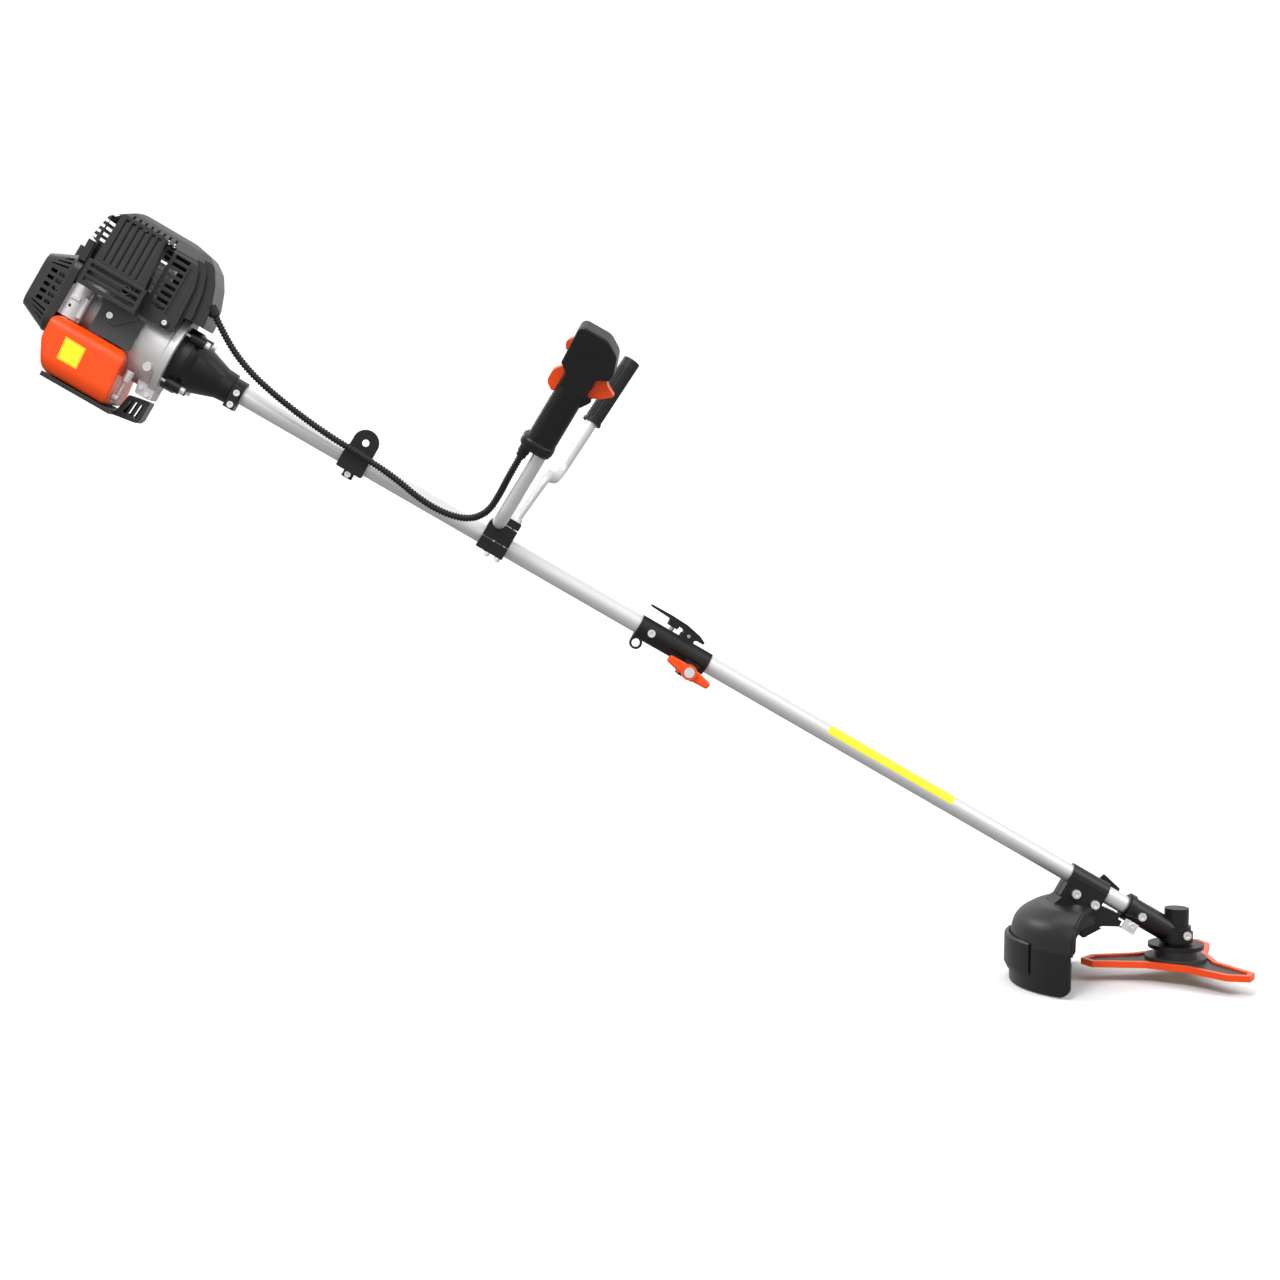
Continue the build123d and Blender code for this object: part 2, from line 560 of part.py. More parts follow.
def handlebar_clamp():
    """Two halves on the shaft and a cap over the handlebar, held by four upright screws."""
    s0, s1 = BAR_S - 11.5, BAR_S + 29.5
    side = TUBE_R + 9
    joint, split = TUBE_R + 1.5, 0.8
    foot = -TUBE_R - 5
    screw_y = TUBE_R + 4.8
    lower = block(s0, s1, -side, side, foot, joint) - along(TUBE_R, s0 - 1, s1 + 1)
    for face in (-side, side - 1.2):
        lower -= block(BAR_S + 3, BAR_S + 14, face, face + 1.2, foot, joint)
    saddle = moulded((s0, joint, 0), (s0, 21, 2), (BAR_S - 5, 38, 8), (BAR_S + 6, 40, 3),
                     (BAR_S + 13, 38.5, 2),
                     (s1, 38.5, 2), (s1, joint, 0))
    upper = side_plate(saddle, -side, side) - across(BAR_R, -side - 1, side + 1, BAR_S, BAR_N)
    for y in (-screw_y, screw_y):
        long_screw = upright(2.5, foot - 6, 44, s1 - 6, y) + upright(4.2, 38.5, 44, s1 - 6, y)
        long_screw += upright(4.2, foot - 5, foot, s1 - 6, y)
        short_screw = upright(2.5, foot - 6, joint, BAR_S + 7, y)
        short_screw += upright(4.2, foot - 5, foot, BAR_S + 7, y)
        for screw in (long_screw, short_screw):
            keep("screws", screw)
            lower -= screw
            upper -= screw
    keep("handle_clamp", lower - block(s0 - 1, s1 + 1, -side - 1, side + 1, -split, 50))
    keep("handle_clamp", lower - block(s0 - 1, s1 + 1, -side - 1, side + 1, -50, split)
         + (upper - block(s0 - 1, s1 + 1, -side - 1, side + 1, BAR_N - split, 50)))
    keep("handle_clamp", upper - block(s0 - 1, s1 + 1, -side - 1, side + 1, -50, BAR_N + split))


def throttle_grip():
    foot = 5.0
    head = moulded((-21.5, 0, 0), (-21.5, 19, 4), (-33, 28, 4), (-36, 86, 9), (6, 87, 22), (26, 74, 16),
                   (34.5, 50, 12), (34, 39, 4), (19, 31, 5), (18.5, 0, 0))
    head = side_plate(head, -17, 17)
    head = fillet(head.edges().group_by(Axis.Y)[0] + head.edges().group_by(Axis.Y)[-1], 3)
    head += side_plate(moulded((16, -16, 0), (19, -16, 1), (27, -3, 2), (27, 1, 1), (16, 4, 0)), -9, 9)
    head += Pos(0, 0, -GRIP_HANDLE) * slab(Pos(-2, 0) * RectangleRounded(41, 34, 14), GRIP_HANDLE + 20)
    head -= side_plate(rounded([(6, -12), (6, 38), (24, 44), (60, 38), (60, -12)], 2), -7, 7)
    head -= side_plate(rounded([(-42, -28), (-42, 26), (-12, 26), (-10, -28)], 2), -6, 6)
    head -= block(-42, -30, -5, 5, 36, 66)
    above = Pos(0, 0, foot + GRIP_HANDLE)
    ring = Pos(0, 0, foot) * slab(Pos(-4, 0) * RectangleRounded(48, 40, 17), 17)
    shell = above * head + fillet(ring.edges().group_by(Axis.Z)[0] + ring.edges().group_by(Axis.Z)[-1], 6)
    keep_grip("throttle_housing", shell - upright(BAR_R, foot - 1, GRIP_TUBE_DEPTH, BAR_S + 250, 0))

    trigger = side_plate(moulded((12, 36, 2), (27, 39, 2), (36, 28, 18), (50.5, 20, 2), (35, 7, 16),
                                 (21, 0, 2),
                                 (18, 0, 1), (20, 20, 6)), -5.5, 5.5)
    keep_grip("throttle_trigger", above * (trigger - across(2 + RUN_FIT, -6, 6, 16, 32)))
    lock = side_plate(moulded((-14, 23, 2), (-26, 24, 5), (-37, 10, 12), (-37, -8, 12), (-25, -17, 3),
                              (-21, -13, 2), (-19, 4, 2)), -4.5, 4.5)
    keep_grip("lock_off_lever", above * (lock - across(2 + RUN_FIT, -6, 6, -18, 19)))
    pins = Compound([across(2, -7, 7, 16, 32), across(2, -6, 6, -18, 19)])
    keep_grip("pivot_pins", above * pins)
    switch = moulded((-31, 43, 0), (-36, 43, 3), (-41, 52, 5), (-36, 61, 3), (-31, 61, 0))
    keep_grip("stop_switch", above * side_plate(switch, -4, 4))
    boot = rod(8, (-15.7, 0, foot - 12), (-15.7, 0, foot)) + rod(6.8, (-15.7, 0, foot - 19),
                                                                 (-15.7, 0, foot - 12))
    keep_grip("cable_boots", boot)


def throttle_conduit():
    """Corrugated conduit as straight runs joined by the largest arcs that they allow."""
    points = [Vector(*p) for p in CONDUIT_ROUTE]
    radii = []
    for before, here, after in zip(points, points[1:], points[2:]):
        turn = (here - before).get_angle(after - here)
        shorter = min((here - before).length, (after - here).length)
        radii.append(0.45 * shorter / math.tan(math.radians(turn / 2)))
    route = FilletPolyline(*points, radius=radii)
    tube = sweep(Plane(origin=route @ 0, z_dir=route % 0) * Circle(CONDUIT_R), route)
    print("conduit radii", [round(r) for r in radii], "length", round(route.length, 1),
          "volume ratio", round(tube.volume / (math.pi * CONDUIT_R ** 2 * route.length), 4))
    keep("throttle_conduit", tube)


# ---- coupler ----------------------------------------------------------------------------------
def coupler():
    body = along(COUPLER_R, COUPLER_S0, COUPLER_S1, 0, COUPLER_DROP)
    body += side_plate(rounded([(COUPLER_S0, -18), (COUPLER_S0, 15), (COUPLER_S1, 15), (COUPLER_S1, -17)],
                               1), -9, 9)
    ear = side_plate(rounded([(-2, -10), (-2, -24), (22, -10)], 0), -4, 4) + across(9, -4, 4, 7, EAR_N)
    body += ear
    body += block(78, 101, -19, 19, -33, -8)
    for y in (-10.5, 7.5):
        body += side_plate(rounded([(56, 8), (56, 20), (61, 26), (72, 26), (77, 20), (77, 8)], 3), y, y + 3)
    body -= across(6, -10, 10, 7, EAR_N)
    body -= block(70, COUPLER_S1 + 1, -1, 1, -40, 0)
    body -= across(4 + RUN_FIT, -30, 30, KNOB_S, KNOB_N)
    body -= upright(PIN_R + RUN_FIT, 0, 30, PIN_S, 0)
    body -= across(2.5, -15, 15, LATCH_S, LATCH_N)
    body = fit_screw(body - along(TUBE_R, -50, 200), 5.5, 5, 2.4, 18, -2, -COUPLER_R + 0.3)
    keep("coupler_body", body)

    outline = moulded((0, 31, 1), (0, 34, 1), (34, 34.6, 1), (58, 33.5, 20), (80, 29, 14), (92.5, 23.5, 2),
                      (90, 20.2, 1), (81, 20.5, 1), (73, 17, 1), (60, 17, 1), (56, 25, 1), (46, 26,
                                                                                            1), (34, 29, 1))
    lever = side_plate(outline, -7, 7)
    lever -= across(2.5 + RUN_FIT, -10, 10, LATCH_S, LATCH_N)
    cheek = side_plate(rounded([(33, 20.5), (32, 31), (50, 31), (48, 20.5)], 1), -7, -4.2)
    lever += cheek + Pos(0, 11.2, 0) * cheek
    keep("latch_lever", lever)
    keep("pivot_pins", across(2.5, -12.5, 12.5, LATCH_S, LATCH_N))
    pin = upright(PIN_R, 10.6, 24.4, PIN_S, 0)
    keep("latch_pin", pin)

    wing = side_plate(moulded((-KNOB_REACH, -5, 4), (-KNOB_REACH, 5, 4), (-12, 8, 14), (12, 8, 14),
                              (KNOB_REACH, 5, 4),
                              (KNOB_REACH, -5, 4), (12, -8, 14), (-12, -8, 14)), -34, -25)
    wing = fillet(wing.edges().group_by(Axis.Y)[0], 3)
    wing += rod(11, (0, -40, 0), (0, -22, 0))
    knob = Pos(KNOB_S, 0, KNOB_N) * (Rot(0, 6, 0) * wing) - across(4, -45, -20, KNOB_S, KNOB_N)
    keep("coupler_knob", knob - across(8, -42, -37, KNOB_S, KNOB_N))
    screw = across(4, -37, 19, KNOB_S, KNOB_N) + across(7.5, -41, -37, KNOB_S, KNOB_N)
    keep("coupler_knob", screw)


# ---- gear head -------------------------------------------------------------------------------
def bevel_gear(teeth, half_angle, bore, hub_back):
    """Straight bevel gear with its apex at the origin, facing down its own axis."""
    half = math.radians(half_angle)
    face = 8.0
    gap = 0.25
    far, near = CONE_DISTANCE - gap, CONE_DISTANCE - face
    tip = [(near * math.sin(half) - gap, near * math.cos(half)),
           (far * math.sin(half) - gap, far * math.cos(half)),
           (far * math.sin(half) - 2.5, far * math.cos(half) + hub_back), (bore,
                                                                           far * math.cos(half) + hub_back),
           (bore, near * math.cos(half))]
    gear = revolve(Plane.XZ * make_face(Polyline(*tip, close=True)), Axis.Z)
    pitch = 2 * math.pi * far * math.sin(half) / teeth
    space = Rot(0, half_angle, 0) * (Pos(0, 0, CONE_DISTANCE / 2) * Box(2.6, pitch * 0.45, 40))
    for i in range(teeth):
        gear -= Rot(0, 0, i * 360 / teeth) * space
    return gear


def gear_train():
    pitch_crown = math.degrees(math.atan2(math.sin(math.radians(60)), PINION_TEETH / CROWN_TEETH + 0.5))
    pinion = bevel_gear(PINION_TEETH, 60 - pitch_crown, 0.0, 4)
    lift = Rot(0, -(90 - SHAFT_SLOPE), 0)
    shank = rod(DRIVE_R, (0, 0, 24), (0, 0, 26))
    keep_head("pinion_gear", lift * (pinion + shank))
    crown = bevel_gear(CROWN_TEETH, pitch_crown, 5.0, 3)
    keep_head("output_shaft", crown)
    spindle = rod(5, (0, 0, 0), (0, 0, 33)) + rod(7.5, (0, 0, -34), (0, 0, 0)) + rod(5, (0, 0, -52),
                                                                                     (0, 0, -34))
    keep_head("output_shaft", spindle)
    outer = rod(14, (0, 0, 24), (0, 0, 32)) - rod(5 + RUN_FIT, (0, 0, 24), (0, 0, 32))
    lower = rod(17, (0, 0, -9), (0, 0, -1)) - rod(7.5 + RUN_FIT, (0, 0, -9), (0, 0, -1))
    inputs = [along(11.5, s, s + 8) - along(DRIVE_R + RUN_FIT, s, s + 8) for s in (HEAD_S - 46,
                                                                                   HEAD_S - 36)]
    ring_solids = [HEAD * outer, HEAD * lower] + inputs
    keep("bearings", Compound(ring_solids))


def gear_case():
    sleeve = along(TUBE_R + 4.5, 816, HEAD_S - 8) - along(TUBE_R, 810, LOWER_TUBE_END)
    sleeve += along(TUBE_R + 7, 818, 826) - along(TUBE_R, 810, LOWER_TUBE_END)
    tower = rod(24, (0, 0, -9), (0, 0, 6)) + rod(17.5, (0, 0, 0), (0, 0, 40))
    tower += rod(21, (0, 0, 6), (0, 0, 14))
    inside = rod(14, (0, 0, -12), (0, 0, 33)) + rod(17, (0, 0, -10), (0, 0, -1))
    case = sleeve + HEAD * tower
    case -= along(TUBE_R, 810, LOWER_TUBE_END) + along(11.5, LOWER_TUBE_END, HEAD_S - 3)
    case -= HEAD * inside
    case -= HEAD * rod(60, (0, 0, -40), (0, 0, -9))
    case = fit_screw(case, 6, 5, 3, 841, -2, -TUBE_R - 3.8)
    case = fit_screw(case, 6, 4, 6, 911, 7, -24)
    keep("gear_case", case)


def blade_mount():
    cover = rod(40, (0, 0, -18), (0, 0, -12)) - rod(9, (0, 0, -20), (0, 0, -11))
    cover += rod(20, (0, 0, -12), (0, 0, -9)) - rod(17, (0, 0, -20), (0, 0, -8))
    cover += rod(12, (0, 0, -12), (0, 0, -9.2)) - rod(9, (0, 0, -20), (0, 0, -8))
    keep_head("thread_guard", cover)
    holder = rod(44, (0, 0, BLADE_Z), (0, 0, -30)) + rod(30, (0, 0, -30), (0, 0, -20))
    holder += rod(BLADE_ARBOR_R, (0, 0, BLADE_Z - BLADE_T), (0, 0, BLADE_Z))
    keep_head("blade_holder", holder - rod(7.5, (0, 0, -34), (0, 0, -19)) - rod(5, (0, 0, -45),
                                                                                (0, 0, -34)))
    washer = rod(24, (0, 0, BLADE_Z - BLADE_T - 3), (0, 0, BLADE_Z - BLADE_T)) - rod(5, (0, 0, -60),
                                                                                     (0, 0, 0))
    keep_head("blade_nut", washer)
    nut_top = BLADE_Z - BLADE_T - 3
    nut = Pos(0, 0, nut_top - 9) * extrude(RegularPolygon(10, 6), 9)
    nut += rod(14, (0, 0, nut_top - 3), (0, 0, nut_top))
    keep_head("blade_nut", nut - rod(5, (0, 0, -60), (0, 0, 0)))


def star(shrink):
    """Three-armed outline: each arm has a raked cutting edge and a bevelled heel."""
    arm = [(52, -32), (SHEATH_R - 22, -20), (SHEATH_R, 4), (SHEATH_R - 12, 26), (52, 32)]
    points = []
    for turn in (0, 120, 240):
        angle = math.radians(turn)
        for x, y in arm:
            across_arm = x * math.sin(angle) + y * math.cos(angle)
            points.append((x * math.cos(angle) - y * math.sin(angle), across_arm))
    outline = rounded(points, 3)
    return offset(outline, -shrink, kind=Kind.INTERSECTION) if shrink else outline


def blade():
    plate = slab(star(3.5), BLADE_T)
    plate = Pos(0, 0, BLADE_Z - BLADE_T) * (Rot(0, 0, BLADE_TURN) * plate)
    keep_head("blade", plate - rod(BLADE_ARBOR_R, (0, 0, -60), (0, 0, 0)))
    rim = slab(star(0) - star(SHEATH_EDGE), 9) - Pos(0, 0, 4) * slab(star(3.5), BLADE_T)
    keep_head("blade_sheath", Pos(0, 0, BLADE_Z - BLADE_T - 4) * (Rot(0, 0, BLADE_TURN) * rim))


# ---- guard -----------------------------------------------------------------------------------
def about_guard(shape, turn=0.0):
    """Place a shape drawn about the guard's own upright axis, turned to a bearing."""
    return Pos(GUARD_X, GUARD_Y, 0) * (Rot(0, 0, turn) * shape)


def swept_wall(section):
    """Turn a section about the guard's axis over its arc."""
    return about_guard(revolve(Plane.XZ * section, Axis.Z, GUARD_ARC1 - GUARD_ARC0), GUARD_ARC0)


def guard_end_cut(turn, side):
    """What is cut off the skirt so that its lower corner at one end of the arc is rounded."""
    radius = 18.0
    bottom = -63.0
    corner = Pos(132, side * 12, bottom + 9.5) * Box(30, 24, 19)
    corner -= Pos(110, 0, bottom + 19) * Rot(0, 90, 0) * Cylinder(radius, 50, align=BASE)
    step = math.degrees(radius / GUARD_R)
    return about_guard(corner, turn - side * step)


def guard_strap():
    """Band outside the skirt; it is drawn off centre, so that it fades into the wall."""
    offcentre = 19.6
    middle = 165.0
    reach = GUARD_R - offcentre + 7
    lip = GUARD_BOTTOM - 0.3
    section = moulded((reach - 30, -44, 0), (reach - 4, -44, 0), (reach, -36, 3), (reach, 4, 3),
                      (reach - 3, 7, 0),
                      (reach - 30, 7, 0))
    band = Rot(0, 0, -16) * revolve(Plane.XZ * section, Axis.Z, 60)
    band = about_guard(Pos(offcentre, 0, 0) * band, middle)
    band -= about_guard(rod(GUARD_R + 0.4, (0, 0, lip), (0, 0, 20)))
    return band - about_guard(rod(GUARD_R - 2, (0, 0, -60), (0, 0, lip)))


def guard():
    t = GUARD_T
    rim = GUARD_R
    hub = 52.0
    dome = moulded((hub - 10, 54.6, 0), (98, 51.5, 40), (128, 34, 36), (rim, 0, 24), (rim, -70, 0),
                   (hub - 10, -70, 0))
    reach = Pos((hub + rim + 10) / 2, (GUARD_BOTTOM + 70) / 2) * Rectangle(rim + 10 - hub,
                                                                           70 - GUARD_BOTTOM)
    shell = swept_wall((dome - offset(dome, -t)) & reach)
    hollow = moulded((hub - 20, 30, 0), (100, 31, 14), (122, 22, 12), (rim, -6, 0), (rim, -80, 0),
                     (hub - 20, -80, 0))
    lip = (offset(dome, -t / 2) - hollow) & reach
    for turn, shift in ((GUARD_ARC0, 0), (GUARD_ARC1, t)):
        shell += about_guard(Pos(0, shift, 0) * (Plane.XZ * slab(lip, t)), turn)
    spine = side_plate(rounded([(714, -54), (722, -34.2), (781, -34.2), (786, -44), (783, -68), (775, -66),
                                (758, -50), (735, -50)], 1), -22, 22)
    arm = moulded((781.5, -36, 0), (783, -18, 2), (812, -15, 2), (815, -22.2, 0), (821, -22.2, 1),
                  (821, -31, 1),
                  (798, -43, 12), (783, -70, 4), (768, -60, 0), (765, -38, 0))
    arm = side_plate(arm, -12, 12)
    arm += side_plate(moulded((783, -46, 0), (800, -46, 0), (783, -72, 4), (770, -66, 0)), -12, 12)
    shell = HEAD * shell - block(719, 782, -18, 18, -34.2, 0)
    shell += spine + arm - along(TUBE_R + 1, 700, 860)
    keep("guard_shell", fit_screw(shell, 4, 3, 6, 732, -45, -22))

    top = GUARD_BOTTOM - 0.3
    skirt = make_face(Polyline((rim - t - 0.2, -12), (rim - t - 0.2, top), (rim, top), (rim - 1, -62),
                               (rim - 4, -62),
                               (rim - 6, GUARD_BOTTOM), (rim - 6, -12), close=True))
    skirt = swept_wall(skirt) - guard_end_cut(GUARD_ARC1, 1) - guard_end_cut(GUARD_ARC0, -1)
    keep_head("guard_skirt", skirt + guard_strap())


def guard_bracket():
    s0, s1 = 720, 781
    side = TUBE_R + 4
    clamp = along(TUBE_R + 3, s0, s1) + block(s0, s1, -side, side, -34, 0)
    clamp += side_plate(rounded([(766, 8), (772, 24), (803, 17), (804, 13), (780, 8)], 1), 13.2, 16.2)
    clamp -= along(TUBE_R, s0 - 1, s1 + 30) + block(s0 - 1, s1 + 1, -1, 1, -60, 0)
    for s in (739, 771):
        clamp = fit_screw(clamp, 6.5, 5, 14, s, -21, -side)
    keep("guard_bracket", clamp)
    plate = block(821.2, 843, -20.5, -18.5, -29, -15) + block(821.2, 843, -20.5, 12, -31, -29)
    keep("guard_bracket", fit_screw(plate, 4.5, 3, 2, 834, -21, -20.5))


def build():
    for step in (tubes, drive_shafts, crank_train, clutch_drum, crankcase, cylinder, fan_housing,
                 top_shroud,
                 muffler, side_bracket, carburettor, air_filter, recoil_starter, fuel_tank, engine_foot,
                 clutch_case, hanger, handlebar, handlebar_clamp, throttle_grip, throttle_conduit, coupler,
                 gear_train, gear_case, blade_mount, blade, guard, guard_bracket):
        step()


os.makedirs("parts", exist_ok=True)
build()
for name, solids in made.items():
    export_step(Compound(solids) if len(solids) > 1 else solids[0], "parts/" + name + ".step")
print(len(made), "nodes", sum(len(solids) for solids in made.values()), "pieces")
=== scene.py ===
import json
import math

import bpy
from mathutils import Matrix, Vector


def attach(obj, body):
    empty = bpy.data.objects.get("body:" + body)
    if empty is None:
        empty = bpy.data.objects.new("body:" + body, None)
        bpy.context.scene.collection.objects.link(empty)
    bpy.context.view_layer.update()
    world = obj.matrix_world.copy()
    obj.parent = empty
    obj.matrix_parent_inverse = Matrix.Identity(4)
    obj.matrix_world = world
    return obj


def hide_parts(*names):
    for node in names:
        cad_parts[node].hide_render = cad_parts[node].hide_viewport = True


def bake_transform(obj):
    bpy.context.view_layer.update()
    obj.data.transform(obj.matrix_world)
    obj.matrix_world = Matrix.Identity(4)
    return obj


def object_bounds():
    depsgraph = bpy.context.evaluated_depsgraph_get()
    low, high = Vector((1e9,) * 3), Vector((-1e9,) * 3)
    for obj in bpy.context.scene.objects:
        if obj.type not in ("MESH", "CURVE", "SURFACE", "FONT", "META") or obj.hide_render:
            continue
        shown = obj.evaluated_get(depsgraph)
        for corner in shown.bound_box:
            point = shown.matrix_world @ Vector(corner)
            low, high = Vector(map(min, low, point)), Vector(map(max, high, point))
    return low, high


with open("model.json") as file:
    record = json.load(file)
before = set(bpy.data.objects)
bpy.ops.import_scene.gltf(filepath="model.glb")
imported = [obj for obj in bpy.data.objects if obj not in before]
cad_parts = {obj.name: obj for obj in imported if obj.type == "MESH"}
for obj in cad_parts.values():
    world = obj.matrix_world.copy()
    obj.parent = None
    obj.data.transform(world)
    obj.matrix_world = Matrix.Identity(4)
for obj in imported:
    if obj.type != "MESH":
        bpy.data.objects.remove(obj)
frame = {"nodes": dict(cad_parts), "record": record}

cad_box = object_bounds()

# ---- the frame ---------------------------------------------------------------------------------
# Shaft coordinates: s runs along the shaft towards the blade, y to the operator's left and n square
# to both.  SHAFT takes them in metres and at() in millimetres.  The row frame has its origin at the
# harness eye, SLOPE round.
SLOPE = math.radians(30)
EYE = Vector((-0.4565, 0, 0.028))
SHAFT = Matrix.Rotation(SLOPE, 4, "Y") @ Matrix.Translation(-EYE)
FROM_ROW = SHAFT.inverted()
MM = 0.001
nodes = frame["nodes"]


def at(s, y, n):
    """Row-frame point, in metres, of shaft coordinates in millimetres."""
    return SHAFT @ Vector((s * MM, y * MM, n * MM))


# ---- materials ---------------------------------------------------------------------------------
def build_material(name, colour, roughness, metallic=0.0, vary=0.06, rough_vary=0.08, grain=900.0,
                   bump=0.15,
                   depth=0.0002, stretch=(1, 1, 1), blotch=14.0, specular=0.5, edge=0.0006, wear=0.0):
    """Principled surface: colour and roughness drift slowly, the grain is a fine bump, edges are softened.

    The Mix nodes are wired by number: 6 and 7 are the two colours, and output 2 is their mix.
    """
    mat = bpy.data.materials.new(name)
    mat.use_nodes = True
    tree = mat.node_tree
    shader = tree.nodes["Principled BSDF"]
    shader.inputs["Metallic"].default_value = metallic
    shader.inputs["Specular IOR Level"].default_value = specular

    def add(kind, **values):
        node = tree.nodes.new(kind)
        for key, value in values.items():
            setattr(node, key, value)
        return node

    place = add("ShaderNodeTexCoord")
    mapping = add("ShaderNodeMapping")
    mapping.vector_type = "TEXTURE"
    mapping.inputs["Rotation"].default_value = (0, SLOPE, 0)
    mapping.inputs["Scale"].default_value = stretch
    tree.links.new(place.outputs["Object"], mapping.inputs["Vector"])

    fine = add("ShaderNodeTexNoise")
    fine.inputs["Scale"].default_value = grain
    fine.inputs["Detail"].default_value = 3
    tree.links.new(mapping.outputs["Vector"], fine.inputs["Vector"])
    broad = add("ShaderNodeTexNoise")
    broad.inputs["Scale"].default_value = blotch
    broad.inputs["Detail"].default_value = 5
    tree.links.new(place.outputs["Object"], broad.inputs["Vector"])

    tint = add("ShaderNodeMix", data_type="RGBA")
    tint.inputs[6].default_value = (*[c * (1 - vary) for c in colour], 1)
    tint.inputs[7].default_value = (*[min(1, c * (1 + vary)) for c in colour], 1)
    tree.links.new(broad.outputs["Fac"], tint.inputs["Factor"])
    surface = tint.outputs[2]
    if wear:
        scuff = add("ShaderNodeTexNoise")
        scuff.inputs["Scale"].default_value = 90
        scuff.inputs["Detail"].default_value = 8
        scuff.inputs["Roughness"].default_value = 0.75
        tree.links.new(place.outputs["Object"], scuff.inputs["Vector"])
        patch = add("ShaderNodeMapRange")
        patch.inputs["From Min"].default_value = 0.6
        patch.inputs["From Max"].default_value = 0.8
        patch.inputs["To Max"].default_value = wear
        tree.links.new(scuff.outputs["Fac"], patch.inputs["Value"])
        dull = add("ShaderNodeMix", data_type="RGBA")
        dull.inputs[7].default_value = (*[min(1, c * 1.7 + 0.02) for c in colour], 1)
        tree.links.new(patch.outputs["Result"], dull.inputs["Factor"])
        tree.links.new(surface, dull.inputs[6])
        surface = dull.outputs[2]
    tree.links.new(surface, shader.inputs["Base Color"])

    both = add("ShaderNodeMath", operation="ADD")
    tree.links.new(fine.outputs["Fac"], both.inputs[0])
    tree.links.new(broad.outputs["Fac"], both.inputs[1])
    spread = add("ShaderNodeMapRange")
    spread.inputs["From Min"].default_value = 0.6
    spread.inputs["From Max"].default_value = 1.4
    spread.inputs["To Min"].default_value = max(0.02, roughness - rough_vary)
    spread.inputs["To Max"].default_value = min(1, roughness + rough_vary)
    tree.links.new(both.outputs[0], spread.inputs["Value"])
    tree.links.new(spread.outputs["Result"], shader.inputs["Roughness"])

    relief = add("ShaderNodeBump")
    relief.inputs["Strength"].default_value = bump
    relief.inputs["Distance"].default_value = depth
    tree.links.new(fine.outputs["Fac"], relief.inputs["Height"])
    if edge:
        soft = add("ShaderNodeBevel", samples=4)
        soft.inputs["Radius"].default_value = edge
        tree.links.new(soft.outputs["Normal"], relief.inputs["Normal"])
    tree.links.new(relief.outputs["Normal"], shader.inputs["Normal"])
    return mat


ALONG_SHAFT = (25, 1, 1)
finishes = {
    "silver_tube": build_material("anodised_tube", (0.72, 0.72, 0.725), 0.4, 0.5, 0.02, 0.05, 700, 0.03,
                                  stretch=ALONG_SHAFT, edge=0),
    "steel": build_material("machined_steel", (0.5, 0.5, 0.5), 0.32, 1.0, 0.06, 0.1, 900, 0.1, edge=0.0003),
    "zinc_steel": build_material("zinc_plate", (0.9, 0.91, 0.92), 0.3, 0.75, 0.08, 0.08, 1200, 0.1,
                                 blotch=120,
                                 edge=0.0004),
    "dark_steel": build_material("dark_steel", (0.06, 0.06, 0.06), 0.45, 0.3, 0.1, 0.1, 900, 0.15,
                                 wear=0.3),
    "cast_aluminium": build_material("cast_aluminium", (0.66, 0.65, 0.65), 0.48, 0.55, 0.06, 0.1, 900, 0.45,
                                     depth=0.0003, blotch=60, edge=0.0012, wear=0.25),
    "black_cast": build_material("black_powder_coat", (0.006, 0.0057, 0.0054), 0.36, 0.0, 0.2, 0.08, 1500,
                                 0.4,
                                 depth=0.0002, specular=0.4, edge=0.0008, wear=0.12),
    "black_plastic": build_material("charcoal_plastic", (0.021, 0.021, 0.0215), 0.38, 0.0, 0.14, 0.08,
                                    2200, 0.35,
                                    depth=0.0002, specular=0.45, edge=0.0014, wear=0.08),
    "orange_plastic": build_material("orange_plastic", (1.0, 0.08, 0.004), 0.28, 0.0, 0.03, 0.06, 1200,
                                     0.08,
                                     specular=0.4, edge=0.0014),
    "black_rubber": build_material("black_rubber", (0.008, 0.008, 0.008), 0.55, 0.0, 0.2, 0.1, 1800, 0.4,
                                   depth=0.0002, specular=0.35, edge=0.0004),
    "foam": build_material("filter_foam", (0.02, 0.02, 0.02), 0.95, 0.0, 0.3, 0.04, 700, 1.0, depth=0.001,
                           edge=0),
}
tank_orange = build_material("tank_orange", (1.0, 0.08, 0.004), 0.26, 0.0, 0.04, 0.05, 1000, 0.05,
                             specular=0.4,
                             edge=0.008, wear=0.02)
warm_black = build_material("warm_black_plastic", (0.0085, 0.0076, 0.007), 0.36, 0.0, 0.12, 0.07, 1900, 0.3,
                            depth=0.0002, specular=0.38, edge=0.001, wear=0.06)
brass = build_material("yellow_zinc", (0.75, 0.55, 0.16), 0.3, 0.9, 0.1, 0.08, 900, 0.1, blotch=90,
                       edge=0.0003)
yellow = build_material("yellow_label", (0.93, 0.88, 0.01), 0.4, 0.0, 0.02, 0.05, 1500, 0.03, edge=0)
label_edge = build_material("label_border", (0.12, 0.12, 0.02), 0.45, 0.0, 0.05, 0.05, 1500, 0.03, edge=0)
SPECIAL = {"throttle_housing": warm_black, "guard_shell": warm_black, "guard_skirt": warm_black,
           "fuel_tank": tank_orange}
for part in frame["record"]["subparts"]:
    mesh = nodes[part["node"]].data
    mesh.materials.clear()
    mesh.materials.append(SPECIAL.get(part["node"], finishes[part["material_slot"]]))


